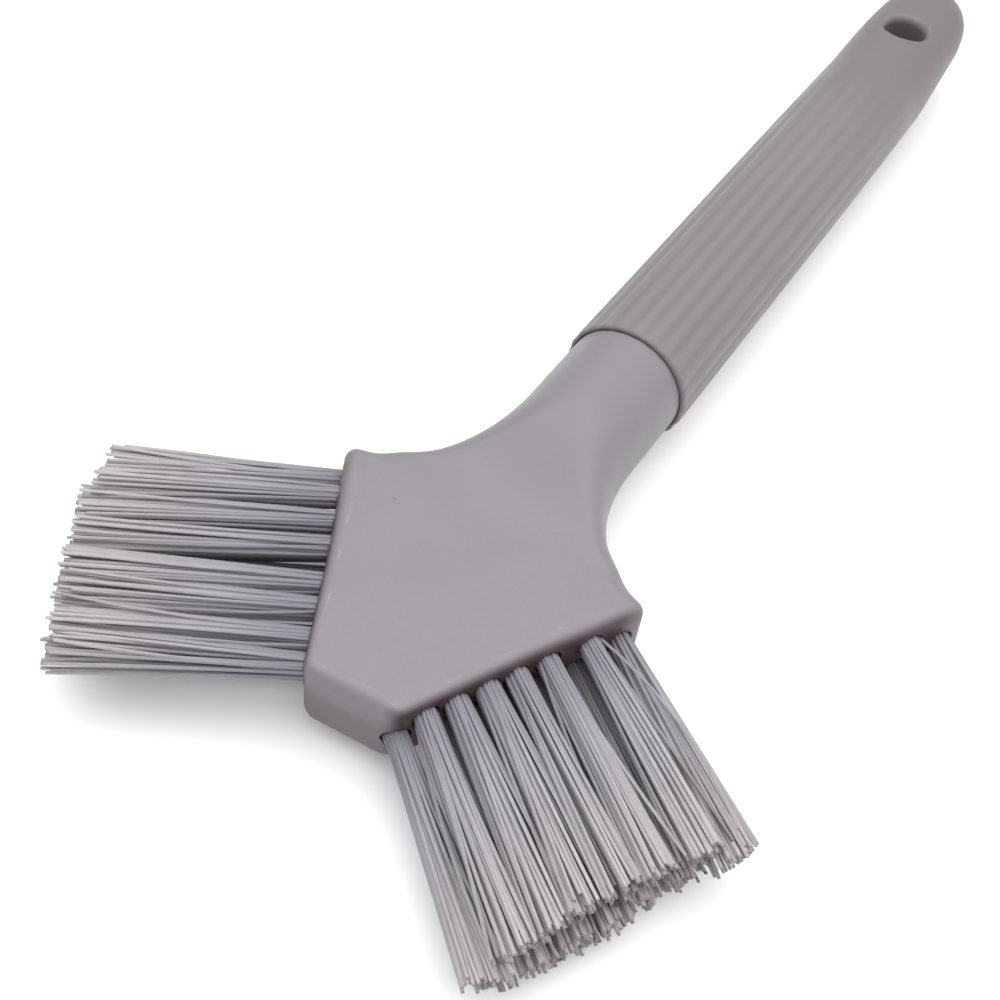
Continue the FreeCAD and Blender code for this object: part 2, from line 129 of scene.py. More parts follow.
def skin(shape, low, high, h, rounds=4):
    """The surface of a shape as an even quad mesh: points, quads and the true normals."""
    xs, ys, zs = (a + h * np.arange(int(math.ceil((b - a) / h)) + 1) for a, b in zip(low, high))
    f = shape.grid(xs, ys, zs)
    s = f < 0
    nx, ny, nz = (n - 1 for n in f.shape)
    corners = [(i, j, k) for i in (0, 1) for j in (0, 1) for k in (0, 1)]
    count = np.zeros((nx, ny, nz), np.uint8)
    for i, j, k in corners:
        count += s[i:i + nx, j:j + ny, k:k + nz]
    cells = np.argwhere((count > 0) & (count < 8))
    number = np.full((nx, ny, nz), -1, np.int32)
    number[tuple(cells.T)] = np.arange(len(cells))
    place, hits = np.zeros((len(cells), 3)), np.zeros(len(cells))
    for a in corners:
        for k in range(3):
            if a[k]:
                continue
            b = tuple(v + (m == k) for m, v in enumerate(a))
            fa, fb = (f[tuple((cells + c).T)].astype(float) for c in (a, b))
            cross = (fa < 0) != (fb < 0)
            t = np.where(cross, fa / np.where(cross, fa - fb, 1), 0)
            at = np.array(a, float) + t[:, None] * (np.array(b) - np.array(a))
            place += at * cross[:, None]
            hits += cross
    p = np.array([xs[0], ys[0], zs[0]]) + h * (cells + place / hits[:, None])
    quads = []
    for k in range(3):
        u, v = (k + 1) % 3, (k + 2) % 3
        here = [slice(1, -1)] * 3
        here[k] = slice(0, -1)
        there = list(here)
        there[k] = slice(1, None)
        s0, s1 = s[tuple(here)], s[tuple(there)]
        edge = np.argwhere(s0 != s1)
        inside = s0[tuple(edge.T)]
        edge = edge + np.array([0 if m == k else 1 for m in range(3)])
        ring = []
        for du, dv in ((-1, -1), (0, -1), (0, 0), (-1, 0)):
            c = edge.copy()
            c[:, u] += du
            c[:, v] += dv
            ring.append(number[tuple(c.T)])
        q = np.stack(ring, 1)
        q[~inside] = q[~inside][:, ::-1]
        quads.append(q)
    quads = np.concatenate(quads)

    def settle(p, times):
        for _ in range(times):
            g = shape.slope(p)
            step = shape.at(p)[:, None] * g / np.maximum((g * g).sum(1), 0.05)[:, None]
            size = np.sqrt((step * step).sum(1))
            p = p - step * np.minimum(1, 0.4 * h / np.maximum(size, 1e-9))[:, None]
        return p

    p = settle(p, 2)
    near = quads.ravel()
    total = np.bincount(near, minlength=len(p)) * 2.0
    for _ in range(rounds):
        mean = np.empty_like(p)
        for k in range(3):
            c = p[quads, k]
            mean[:, k] = np.bincount(near, (np.roll(c, 1, 1) + np.roll(c, -1, 1)).ravel(), len(p)) / total
        g = shape.slope(p)
        g /= np.maximum(np.sqrt((g * g).sum(1)), 1e-9)[:, None]
        d = 0.6 * (mean - p)
        p = settle(p + d - (d * g).sum(1)[:, None] * g, 1)
    p = settle(p, 2)
    g = shape.slope(p)
    return p, quads, g / np.maximum(np.sqrt((g * g).sum(1)), 1e-9)[:, None]


def mesh_object(name, points, loops, starts, flat=None, normals=None, corners=None, values=None):
    me = bpy.data.meshes.new(name)
    me.vertices.add(len(points))
    me.vertices.foreach_set("co", np.ascontiguousarray(points * MM, np.float32).ravel())
    me.loops.add(len(loops))
    me.loops.foreach_set("vertex_index", np.ascontiguousarray(loops, np.int32))
    me.polygons.add(len(starts))
    me.polygons.foreach_set("loop_start", np.ascontiguousarray(starts, np.int32))
    smooth = np.ones(len(starts), bool)
    if flat is not None:
        smooth[flat] = False
    me.polygons.foreach_set("use_smooth", smooth)
    me.update(calc_edges=True)
    for key, v in (values or {}).items():
        me.attributes.new(key, "FLOAT", "POINT").data.foreach_set("value", np.ascontiguousarray(v, np.float32))
    if normals is not None:
        me.normals_split_custom_set_from_vertices(normals.astype(np.float32).tolist())
    if corners is not None:
        me.normals_split_custom_set(corners.astype(np.float32).tolist())
    o = bpy.data.objects.new(name, me)
    bpy.context.scene.collection.objects.link(o)
    return o


# ---------------------------------------------------------------- where the tufts stand
# Distance of each tuft along its face from the nose corner, as on the object: an upper and a lower row, and end tufts
# nearer the middle of the thickness. The two faces were drilled with different steps.
TUFTS = {
    "right": {"upper": (5.4, 9.6, 14.05, 18.25, 22.95, 29.2), "lower": (8.1, 12.5, 16.9, 21.4, 27.4), "end": (1.7, 33.85)},
    "left": {"upper": (2.15, 6.05, 11.0, 14.95, 21.0, 25.5, 29.9), "lower": (9.4, 14.2, 19.2, 24.3, 28.9), "end": (34.6,)},
}
RISE = {"right": {"upper": 1.68, "lower": -2.36, "end": -0.25}, "left": {"upper": 2.0, "lower": -2.36, "end": -0.18}}
# Along each face: how far the bristles lean towards the nose in degrees, how much a tuft widens, and its free length.
LEAN = {
    "right": spline(((1.7, 11.0), (5.4, 9.6), (9.6, 9.0), (14.05, 8.3), (18.25, 8.0), (22.95, 7.8), (29.2, 7.6), (33.85, 8.8))),
    "left": spline(((2.15, 2.9), (6.05, 4.6), (11.0, 2.9), (14.95, 4.2), (21.0, 4.9), (25.5, 5.3), (29.9, 5.2), (34.6, 3.3))),
}
SPREAD = {
    "right": spline(((1.7, 2.1), (5.4, 1.8), (9.6, 1.75), (22.95, 1.75), (29.2, 1.85), (33.85, 2.3))),
    "left": spline(((2.15, 2.0), (6.05, 1.6), (11.0, 2.05), (14.95, 1.85), (21.0, 1.85), (25.5, 1.7), (29.9, 1.65), (34.6, 1.9))),
}
LONG = {
    "right": spline(((1.7, 31.9), (5.4, 31.4), (9.6, 31.0), (14.05, 30.9), (22.95, 30.9), (29.2, 31.6), (33.85, 33.2))),
    "left": spline(((2.15, 31.1), (6.05, 31.9), (11.0, 32.2), (14.95, 32.8), (21.0, 32.8), (25.5, 33.5), (29.9, 32.2), (34.6, 32.3))),
}
# Degrees below the face's own direction, and extra length, of each row.
DROOP = {"upper": spline(((0, 0.0), (36, 0.0))), "lower": spline(((8, 2.6), (21.4, 2.4), (27, 1.3))), "end": spline(((0, 0.6), (36, 0.6)))}
EXTRA = {
    "right": {"upper": spline(((0, 0.0), (36, 0.0))), "lower": spline(((8, 1.2), (21.4, 1.0), (27, 0.2))), "end": spline(((0, 0.0), (36, 0.0)))},
    "left": {"upper": spline(((0, 0.0), (36, 0.0))), "lower": spline(((8, 0.2), (36, 0.2))), "end": spline(((0, 0.0), (36, 0.0)))},
}


def rise_of(side, row, s):
    return RISE[side][row] - (0.5 if side == "right" and s < 3 else 0.0)


def tuft_axes(side, s, rise):
    """Root centre, outward direction and direction along the face, in the head's own frame."""
    sign = 1 if side == "right" else -1
    t = np.array((sign * TX, TY, 0.0))
    n = np.array((sign * TY, -TX, 0.0))
    return np.array((sign * NOSE_HALF, 0.0, 0.0)) + t * s + np.array((0, 0, rise)), n, t


# ---------------------------------------------------------------- head
side_curve = spline(((33.8, 23.55), (34.7, 21.0), (36.75, 18.0), (39.3, 15.0), (43.0, 12.4), (49.5, 10.0), (58.0, NECK_R)), -3.0, 0.0)
top_curve = spline(((30.0, HALF_THICK), (36.75, 5.0), (39.3, 5.35), (43.0, 6.4), (49.5, 8.9), (58.0, NECK_R + AXIS_RISE)))
low_curve = spline(((30.0, HALF_THICK), (36.75, 4.95), (39.3, 5.1), (43.0, 5.55), (49.5, 6.9), (58.0, NECK_R - AXIS_RISE)))
top_round = spline(((0.0, 1.2), (12.0, 1.5), (22.0, 1.8), (31.0, 2.1), (36.75, 2.4), (39.3, 2.9), (43.0, 4.3), (49.5, 7.2), (58.0, NECK_R)))
low_round = spline(((0.0, 0.9), (33.0, 0.9), (36.75, 1.4), (39.3, 2.2), (43.0, 3.9), (49.5, 7.0), (58.0, NECK_R)))


def top_edge(y, front):
    """How far in from the outline the flat top starts to fall away."""
    r = top_round(y)[0]
    return r + (2.3 - r) * front


def head_form(x, y, z):
    ax = np.abs(x)
    w, dw = side_curve(y)
    top, dt = top_curve(y)
    low, dl = low_curve(y)
    nose = -(y + SLANT * x)
    face = (ax - NOSE_HALF) * TY - y * TX
    face = face - 0.50 * ease(((ax - NOSE_HALF) * TX + y * TY - 18.0) / 16.0)
    rear = (ax - w) / np.sqrt(1 + dw * dw)
    plan = both(both(face, nose, 1.7), rear, 1.9)
    mid, half = (top - low) / 2, (top + low) / 2
    up = z > mid
    front = ease(0.5 + (nose - face) / 4) * (y < 20)
    steep = np.where(up, 1 + 0.3 * front, 1)
    r = np.minimum(np.where(up, top_edge(y, front), low_round(y)[0]), half / steep) * steep
    tall = (np.abs(z - mid) - half) / np.sqrt(1 + np.where(up, dt, dl) ** 2)
    body = both(both(plan * steep, tall, r), y - NECK_END, 0.4)
    rise = z - AXIS_RISE
    round_ = np.sqrt(x * x + rise * rise)
    key = np.maximum(np.maximum(ax - 1.5, rise - 7.5), np.maximum(-rise, y - NECK_END - 20))
    spigot = both(np.minimum(round_ - SPIGOT_R, key), y - SPIGOT_END, 0.6)
    return np.minimum(body, np.maximum(spigot, NECK_END - 2 - y))


HOLE_R, HOLE_DEEP = 1.85, 6.3


def hole_cut(side, s, rise):
    c, n, t = tuft_axes(side, s, rise)
    bore = HOLE_R - 0.08 * (s < 2)

    def cut(x, y, z, f):
        dx, dy, dz = x - c[0], y - c[1], z - c[2]
        out = dx * n[0] + dy * n[1]
        across = dx * t[0] + dy * t[1]
        ring = np.sqrt(across * across + dz * dz)
        f = f - 0.07 * np.exp(-((ring - 2.12) / 0.14) ** 2) * (np.abs(out) < 1.0)
        return both(f, -np.maximum(ring - bore, -(out + HOLE_DEEP)), 0.10)
    ends = np.stack((c + n * 1.5, c - n * (HOLE_DEEP + 0.5)))
    return ends.min(0) - 3.0, ends.max(0) + 3.0, cut


holes = [hole_cut(side, s, rise_of(side, row, s)) for side in TUFTS for row in TUFTS[side] for s in TUFTS[side][row]]
HEAD_AT = np.array((0, NOSE_Y, PLATE_Z))
points, quads, normals = skin(Shape(head_form, holes), (-25, -1, -9), (25, 109.5, 11.5), 0.22)
# Painted shade, brown, on the bristle faces between the tufts and low on the nose; a pale painted highlight runs along
# the moulding's front edges.
ax, py, drop = np.abs(points[:, 0]), points[:, 1], HALF_THICK - points[:, 2]
face, step = (ax - NOSE_HALF) * TY - py * TX, (ax - NOSE_HALF) * TX + py * TY
nose = -(py + SLANT * points[:, 0])
front = ease(0.5 + (nose - face) / 4) * (py < 20)
painted_shade = ease((drop + 0.06) / 1.15) * ease((face + 2.0) / 0.5) * ease((step + 0.2) / 2.2) * (py < 35)
painted_shade *= 0.35 + 0.65 * ease((FACE - 1.6 - step) / 3.0)
painted_shade *= ease((FACE + 0.7 - step) / 1.6)
# painted shade, darker towards the bottom of the nose front
low_nose = 0.55 * ease((drop - 0.4) / 5.0) * ease((2.6 - py) / 0.8) * (ax < 8)
painted_shade = np.maximum(painted_shade, low_nose)
# painted highlight along the line where the flat top starts to round
edge_highlight_and_gloss = np.exp(-((np.maximum(face, nose) + top_edge(py, front)) / 0.13) ** 2) * (drop < 0.05) * (py < 31)
head = mesh_object("head_moulding", points + HEAD_AT, quads.ravel(), np.arange(0, quads.size, 4), normals=normals,
                   values={"painted_shade": painted_shade, "edge_highlight_and_gloss": edge_highlight_and_gloss})

# ---------------------------------------------------------------- grip
RIBS, GRIP_R, GRIP_END_R = 24, 10.0, 9.56
HANG_Y, HANG_R, TIP_Y = 107.2, 3.8, 130.6
wide_curve = spline(((0.0, GRIP_R), (94.0, GRIP_END_R), (101.0, 9.42), (108.0, 9.10), (115.0, 8.70), (122.0, 8.25), (130.0, 7.8)), -0.0047, 0.0)
crest_curve = spline(((0.0, GRIP_R), (94.0, GRIP_END_R), (101.0, 9.45), (108.0, 9.15), (115.0, 8.80), (122.0, 8.45), (133.0, 8.0)), -0.0047, -0.04)
under_curve = spline(((0.0, GRIP_R), (88.0, 9.59), (94.0, 9.50), (101.0, 8.6), (108.0, 6.0), (115.0, 4.1), (122.0, 3.4), (133.0, 3.1)), -0.0047, 0.0)
grip_round = spline(((0.0, GRIP_R), (94.0, GRIP_END_R), (101.0, 8.6), (108.0, 6.8), (115.0, 5.6), (122.0, 5.1), (133.0, 4.9)), -0.0047, 0.0)


def grooves(turn, y):
    return (0.5 - 0.5 * np.cos(RIBS * turn)) ** 1.2 * ease((100.0 - y) / 55.0) * (0.7 + 0.3 * ease(y / 6.0))


def grip_form(x, y, z):
    ax = np.abs(x)
    w, dw = wide_curve(y)
    top, dt = crest_curve(y)
    low, dl = under_curve(y)
    end = np.maximum(y - (TIP_Y - 13.0), 0) / 13.0
    side = (ax - w) / np.sqrt(1 + dw * dw)
    tip = (np.sqrt((ax / w) ** 2 + end * end) - 1) * w / np.sqrt(1 + dw * dw)
    plan = np.where(end > 0, tip, side)
    mid, half = (top - low) / 2, (top + low) / 2
    up = z > mid
    tall = (np.abs(z - mid) - half) / np.sqrt(1 + np.where(up, dt, dl) ** 2)
    body = both(plan, tall, np.minimum(grip_round(y)[0], np.minimum(half, w)))
    turn = np.arctan2(x, z)
    ring = np.sqrt(x * x + z * z)
    body = body + 0.24 * grooves(turn, y) * ease((ring - 6.0) / 2.5)
    body = both(body, -y, 0.7)
    bore = np.minimum(np.maximum(ring - 9.21, y - 4.0), np.maximum(ring - 6.56, y - 39.0))
    return both(body, -bore, 0.12)


def hang_cut(x, y, z, f):
    ring = np.sqrt(x * x + (y - HANG_Y) ** 2)
    return both(f, HANG_R - ring, 1.6)


GRIP_AT = np.array((0, NOSE_Y + GRIP_Y, PLATE_Z + AXIS_RISE))
points, quads, normals = skin(
    Shape(grip_form, [(np.array((-6.5, HANG_Y - 6.5, -12)), np.array((6.5, HANG_Y + 6.5, 12)), hang_cut)]),
    (-11, -1, -11), (11, 135, 11), 0.25)
ring = np.hypot(points[:, 0], points[:, 2])
# painted shade: darker in the rib grooves, in the gap at the front lip and towards the tail
painted_shade = 0.20 * grooves(np.arctan2(points[:, 0], points[:, 2]), points[:, 1]) * (ring > 8)
painted_shade = np.maximum(painted_shade, (0.16 + 0.32 * ease((9.95 - ring) / 0.5)) * ease((1.3 - points[:, 1]) / 1.0))
painted_shade = painted_shade + 0.25 * ease((points[:, 1] - 60.0) / 50.0)
grip = mesh_object("grip_moulding", points + GRIP_AT, quads.ravel(), np.arange(0, quads.size, 4), normals=normals,
                   values={"painted_shade": painted_shade})


# ---------------------------------------------------------------- bristles
SIDES = 8
FIBRE_R = 0.222


def tubes(paths, e1, e2, radius, lift, values):
    """Closed thin tubes along paths (count, rings, 3), with flat cut ends. Returns mesh_object's arguments."""
    n, k = paths.shape[:2]
    a = np.arange(SIDES) * 2 * math.pi / SIDES
    ring = np.cos(a)[:, None] * e1 + np.sin(a)[:, None] * e2
    p = paths[:, :, None, :] + radius[:, :, None, None] * ring
    ids = np.arange(n * k * SIDES).reshape(n, k, SIDES)
    nxt = np.roll(ids, -1, 2)
    quads = np.stack((ids[:, :-1], nxt[:, :-1], nxt[:, 1:], ids[:, 1:]), -1).reshape(-1, 4)
    caps = np.concatenate((ids[:, 0, ::-1], ids[:, -1]))
    loops = np.concatenate((quads.ravel(), caps.ravel()))
    starts = np.concatenate((np.arange(len(quads)) * 4, quads.size + np.arange(len(caps)) * SIDES))
    flat = np.arange(len(quads), len(starts))
    # the strands of one bundle share some of the bundle's own roundness, as light passing between them gives
    out = (ring + lift[:, :, None, :]).reshape(-1, 3)
    out /= np.linalg.norm(out, axis=1)[:, None]
    axis = np.cross(e1, e2)
    corner = np.concatenate((out[quads.ravel()], np.repeat(np.where(np.arange(2 * n)[:, None] < n, -axis, axis), SIDES, 0)))
    return p.reshape(-1, 3), loops, starts, flat, corner, {key: np.repeat(v.reshape(-1), SIDES) for key, v in values.items()}


def packed(rng, radius, pitch):
    """Round bundle of filament centres, nearly hexagonal."""
    m = int(radius / pitch) + 2
    i, j = np.meshgrid(np.arange(-m, m + 1), np.arange(-m, m + 1))
    p = np.stack((i + 0.5 * j, j * math.sqrt(3) / 2), -1).reshape(-1, 2) * pitch
    a = rng.uniform(0, math.pi)
    p = p @ np.array(((math.cos(a), -math.sin(a)), (math.sin(a), math.cos(a)))) + rng.uniform(-0.15, 0.15, 2)
    p = p[np.hypot(*p.T) < radius]
    return p + rng.normal(0, 0.018, p.shape)


along = np.array((-0.025, 0.0, 0.05, 0.12, 0.22, 0.34, 0.47, 0.60, 0.73, 0.86, 0.96, 0.9965, 1.0))
tufts, roots = {}, {"left": [], "right": []}
number = 0
for side in ("left", "right"):
    for row in ("upper", "lower", "end"):
        for i, s in enumerate(TUFTS[side][row]):
            number += 1
            rng = np.random.default_rng(4000 + number)
            c, n, t = tuft_axes(side, s, rise_of(side, row, s))
            up = np.array((0, 0, 1.0))
            lean = math.radians(float(LEAN[side](s)[0]))
            d = n * math.cos(lean) - t * math.sin(lean) - up * math.sin(math.radians(float(DROOP[row](s)[0])))
            d /= np.linalg.norm(d)
            off = packed(rng, 1.62 - 0.08 * (side == "right" and s < 2), 0.445)
            m = len(off)
            # loose strands of the bundle keep together, so dark gaps open between them
            seeds = rng.normal(0, 0.9, (7, 2))
            strand = np.argmin(((off[:, None] - seeds) ** 2).sum(-1), 1)
            shift = rng.normal(0, 0.34, (7, 2))[strand]
            shift[:, 1] *= 0.7
            tip = off * (float(SPREAD[side](s)[0]), 1.22) + shift + rng.normal(0, (0.38, 0.24), (m, 2))
            mean = np.stack([np.bincount(strand, tip[:, k], 7) / np.maximum(np.bincount(strand, minlength=7), 1) for k in (0, 1)], 1)
            tip += 0.12 * (mean[strand] - tip)
            loose = rng.random(m) < 0.11
            tip[loose] += rng.normal(0, (1.5, 0.7), (loose.sum(), 2))
            edge = 1.62 * float(SPREAD[side](s)[0]) + 0.7
            if row == "end":
                tip[:, 0] = np.clip(tip[:, 0], -edge, edge)
            bow = rng.normal(0, 0.13, (m, 2)) + shift * 0.12
            bow[loose] += rng.normal(0, 0.45, (loose.sum(), 2))
            length = float(LONG[side](s)[0]) + float(EXTRA[side][row](s)[0]) + rng.normal(0, 0.28, m) + 0.15 * rng.normal()
            short = rng.random(m) < 0.12
            length[short] -= rng.uniform(0.4, 2.8, short.sum())
            if side == "right" and s < 3:
                length += 0.42 * tip[:, 0]       # the corner tuft is cut slantwise
            if side == "right" and row == "upper" and s > 28:
                stray = np.argmax(off @ (0.8, 0.6))
                tip[stray], bow[stray] = (4.6, 1.5), (1.5, 1.1)
            u = along[None, :, None]
            w = np.maximum(u, 0) ** 1.05
            cross = off[:, None] * (1 - w) + tip[:, None] * w + bow[:, None] * (4 * u * (1 - u)) * (u > 0)
            reach = along[None, :] * length[:, None]
            path = (HEAD_AT + c + reach[..., None] * np.where(along[None, :, None] < 0, n, d)
                    + cross[..., :1] * t + cross[..., 1:] * up)
            thick = FIBRE_R * rng.normal(1, 0.04, (m, 1)) * np.ones((1, len(along)))
            thick[:, -1] *= 0.9
            # the left bank gets a darker mean tone than the right: painted shade; the spread between strands is their
            # own
            tone = np.clip(rng.normal(0.5 if side == "right" else 0.25, 0.22, (m, 1)), 0, 1) * np.ones((1, len(along)))
            e1 = np.cross(up, d)
            # painted shade on the lower row, strongest at the root
            foot = (0.62 if row == "lower" else 0.0) * (1 - ease(along / 0.55))
            values = {"tone": tone, "along": np.ones((m, 1)) * along[None, :], "foot": np.ones((m, 1)) * foot[None, :]}
            lift = 0.75 * (cross[..., :1] * t + cross[..., 1:] * up) / 1.9
            p, loops, starts, flat, corner, values = tubes(path, e1, up, thick, lift, values)
            name = "tuft_%s_%s_%d" % (side, row, i + 1)
            tufts[name] = mesh_object("bristles_%s_%s_%d" % (side, row, i + 1), p, loops, starts, flat, None, corner, values), HEAD_AT + c, n, side, row
            deep = np.array((-5.9, -5.6, -3.0, -0.7))
            tight = off * 0.93
            inner = HEAD_AT + c + deep[None, :, None] * n + tight[:, None, :1] * t + tight[:, None, 1:] * up
            roots[side].append((inner, e1, up))

root_pieces = {}
for side in ("left", "right"):
    everything = [], [], [], [], [], []
    at = loop_at = face_at = 0
    for inner, e1, up in roots[side]:
        m = len(inner)
        thick = np.full((m, 4), FIBRE_R) * (0.7, 1, 1, 1)
        values = {"tone": np.full((m, 4), 0.4), "along": np.zeros((m, 4)), "foot": np.zeros((m, 4))}
        p, loops, starts, flat, corner, values = tubes(inner, e1, up, thick, np.zeros((m, 4, 3)), values)
        for store, v in zip(everything, (p, loops + at, starts + loop_at, flat + face_at, corner, values)):
            store.append(v)
        at, loop_at, face_at = at + len(p), loop_at + len(loops), face_at + len(starts)
    p, loops, starts, flat, corner, values = everything
    root_pieces[side] = mesh_object("bristle_roots_" + side, np.concatenate(p), np.concatenate(loops), np.concatenate(starts),
                                    np.concatenate(flat), None, np.concatenate(corner), {k: np.concatenate([v[k] for v in values]) for k in values[0]})


# ---------------------------------------------------------------- materials
class Nodes:
    """Short hand for wiring one material."""

    def __init__(self, name):
        self.material = bpy.data.materials.new(name)
        self.material.use_nodes = True
        self.tree = self.material.node_tree
        self.tree.nodes.clear()
        self.out = self.tree.nodes.new("ShaderNodeOutputMaterial")
        self.shader = self.tree.nodes.new("ShaderNodeBsdfPrincipled")
        self.link(self.shader.outputs[0], self.out.inputs[0])
        self.space = self.tree.nodes.new("ShaderNodeTexCoord").outputs["Object"]

    def link(self, a, b):
        self.tree.links.new(a, b)

    def feed(self, socket, value):
        if hasattr(value, "is_output"):
            self.link(value, socket)
        else:
            socket.default_value = value

    def noise(self, scale, detail=2.0, rough=0.5, stretch=None, distortion=0.0):
        n = self.tree.nodes.new("ShaderNodeTexNoise")
        n.inputs["Scale"].default_value = scale
        n.inputs["Detail"].default_value = detail
        n.inputs["Roughness"].default_value = rough
        n.inputs["Distortion"].default_value = distortion
        v = self.space
        if stretch:
            m = self.tree.nodes.new("ShaderNodeMapping")
            m.inputs["Scale"].default_value = stretch
            self.link(v, m.inputs[0])
            v = m.outputs[0]
        self.link(v, n.inputs["Vector"])
        return n.outputs["Fac"]

    def math(self, kind, a, b=0.0, c=0.0):
        n = self.tree.nodes.new("ShaderNodeMath")
        n.operation = kind
        for s, v in zip(n.inputs, (a, b, c)):
            self.feed(s, v)
        return n.outputs[0]

    def span(self, v, a, b, c, d, smooth=True):
        n = self.tree.nodes.new("ShaderNodeMapRange")
        n.interpolation_type = "SMOOTHSTEP" if smooth else "LINEAR"
        for s, x in zip(n.inputs, (v, a, b, c, d)):
            self.feed(s, x)
        return n.outputs[0]

    def mix(self, f, a, b):
        n = self.tree.nodes.new("ShaderNodeMix")
        n.data_type = "RGBA"
        self.feed(n.inputs[0], f)
        self.feed(n.inputs[6], a)
        self.feed(n.inputs[7], b)
        return n.outputs[2]

    def bump(self, height, strength, distance, under=None):
        n = self.tree.nodes.new("ShaderNodeBump")
        n.inputs["Strength"].default_value = strength
        n.inputs["Distance"].default_value = distance
        self.link(height, n.inputs["Height"])
        if under is not None:
            self.link(under, n.inputs["Normal"])
        return n.outputs[0]

    def value(self, name):
        n = self.tree.nodes.new("ShaderNodeAttribute")
        n.attribute_name = name
        return n.outputs["Fac"]


def rgb(r, g, b):
    return (r, g, b, 1.0)


def moulded(name, light, dark, rough, specks, grain):
    """Satin injection-moulded plastic: cloudy colour, fine spark-erosion grain, a few dark specks, uneven sheen."""
    k = Nodes(name)
    cloud = k.noise(42, 3, 0.55)
    fine = k.noise(1500, 2, 0.6)
    colour = k.mix(k.span(cloud, 0.3, 0.7, 0, 1), rgb(*dark), rgb(*light))
    colour = k.mix(k.span(fine, 0.25, 0.8, 0.0, 0.22), colour, rgb(*[v * 0.88 for v in dark]))
    cells = k.tree.nodes.new("ShaderNodeTexVoronoi")
    cells.inputs["Scale"].default_value = 165
    k.link(k.space, cells.inputs["Vector"])
    chance = k.tree.nodes.new("ShaderNodeSeparateColor")
    k.link(cells.outputs["Color"], chance.inputs[0])
    size = k.span(chance.outputs[0], 1 - specks, 1.0, 0.0, 0.042, False)
    spot = k.math("LESS_THAN", cells.outputs["Distance"], size)
    colour = k.mix(k.math("MULTIPLY", spot, 0.62), colour, rgb(0.075, 0.055, 0.05))
    # painted highlight: a pale, broken line along the moulding's edges
    pale = k.math("MULTIPLY", k.value("edge_highlight_and_gloss"), k.span(k.noise(380, 3, 0.6), 0.50, 0.70, 0.0, 0.36))
    colour = k.mix(pale, colour, rgb(0.44, 0.43, 0.44))
    # painted shade: the masked parts are darkened towards brown
    colour = k.mix(k.math("MULTIPLY", k.value("painted_shade"), 0.90), colour, rgb(0.072, 0.037, 0.043))
    k.link(colour, k.shader.inputs["Base Color"])
    edge_highlight_and_gloss = k.noise(95, 4, 0.6)
    k.link(k.span(edge_highlight_and_gloss, 0.25, 0.75, rough - 0.06, rough + 0.07), k.shader.inputs["Roughness"])
    k.shader.inputs["IOR"].default_value = 1.49
    k.shader.inputs["Specular IOR Level"].default_value = 0.42
    normal = k.bump(k.noise(60, 2, 0.4), 0.25, 0.00022)
    normal = k.bump(k.noise(3200, 2, 0.55), grain, 0.00003, normal)
    k.link(normal, k.shader.inputs["Normal"])
    return k.material


head_plastic = moulded("head_plastic", (0.223, 0.208, 0.226), (0.211, 0.196, 0.213), 0.43, 0.30, 0.30)
grip_plastic = moulded("grip_plastic", (0.216, 0.199, 0.208), (0.203, 0.187, 0.195), 0.47, 0.10, 0.34)


def fibre():
    """Drawn nylon filament: lets some light through, each a little lighter or darker, paler towards the cut end, with
    painted shade, bluish, towards its root and on the end face itself.
    """
    k = Nodes("bristle_fibre")
    tone, far = k.value("tone"), k.value("along")
    colour = k.mix(tone, rgb(0.480, 0.466, 0.505), rgb(0.640, 0.622, 0.665))
    # painted shade, bluish, towards the root
    colour = k.mix(k.span(far, 0.0, 0.50, 0.66, 0.0), colour, rgb(0.262, 0.264, 0.318))
    colour = k.mix(k.span(far, 0.45, 1.0, 0.0, 0.60), colour, rgb(0.760, 0.730, 0.715))
    streak = k.noise(900, 2, 0.6)
    colour = k.mix(k.span(streak, 0.35, 0.75, 0.0, 0.20), colour, rgb(0.360, 0.330, 0.345))
    # painted shade on the cut end face
    colour = k.mix(k.span(far, 0.993, 1.0, 0.0, 0.55), colour, rgb(0.230, 0.200, 0.195))
    # painted shade at the foot of the lower row
    colour = k.mix(k.value("foot"), colour, rgb(0.115, 0.086, 0.098))
    k.link(colour, k.shader.inputs["Base Color"])
    k.link(k.span(k.noise(1400, 2, 0.6), 0.3, 0.7, 0.34, 0.48), k.shader.inputs["Roughness"])
    k.shader.inputs["IOR"].default_value = 1.53
    k.shader.inputs["Specular IOR Level"].default_value = 0.40
    k.link(k.bump(k.noise(2600, 2, 0.5), 0.18, 0.00002), k.shader.inputs["Normal"])
    glow = k.tree.nodes.new("ShaderNodeBsdfTranslucent")
    k.link(k.mix(0.5, colour, rgb(0.74, 0.66, 0.67)), glow.inputs["Color"])
    blend = k.tree.nodes.new("ShaderNodeMixShader")
    blend.inputs[0].default_value = 0.45
    k.link(k.shader.outputs[0], blend.inputs[1])
    k.link(glow.outputs[0], blend.inputs[2])
    k.link(blend.outputs[0], k.out.inputs[0])
    return k.material


def steel():
    """Bright anchor wire, cropped flat, with drawing lines."""
    k = Nodes("anchor_steel")
    lines = k.noise(700, 3, 0.6, (0.05, 0.05, 1.0))
    k.link(k.mix(lines, rgb(0.42, 0.41, 0.40), rgb(0.66, 0.65, 0.63)), k.shader.inputs["Base Color"])
    k.shader.inputs["Metallic"].default_value = 1.0
    k.link(k.span(lines, 0.2, 0.8, 0.25, 0.45), k.shader.inputs["Roughness"])
    k.link(k.bump(lines, 0.2, 0.00003), k.shader.inputs["Normal"])
    return k.material


bristle_fibre, anchor_steel = fibre(), steel()


def finish_piece(o, material):
    o.data.materials.clear()
    o.data.materials.append(material)


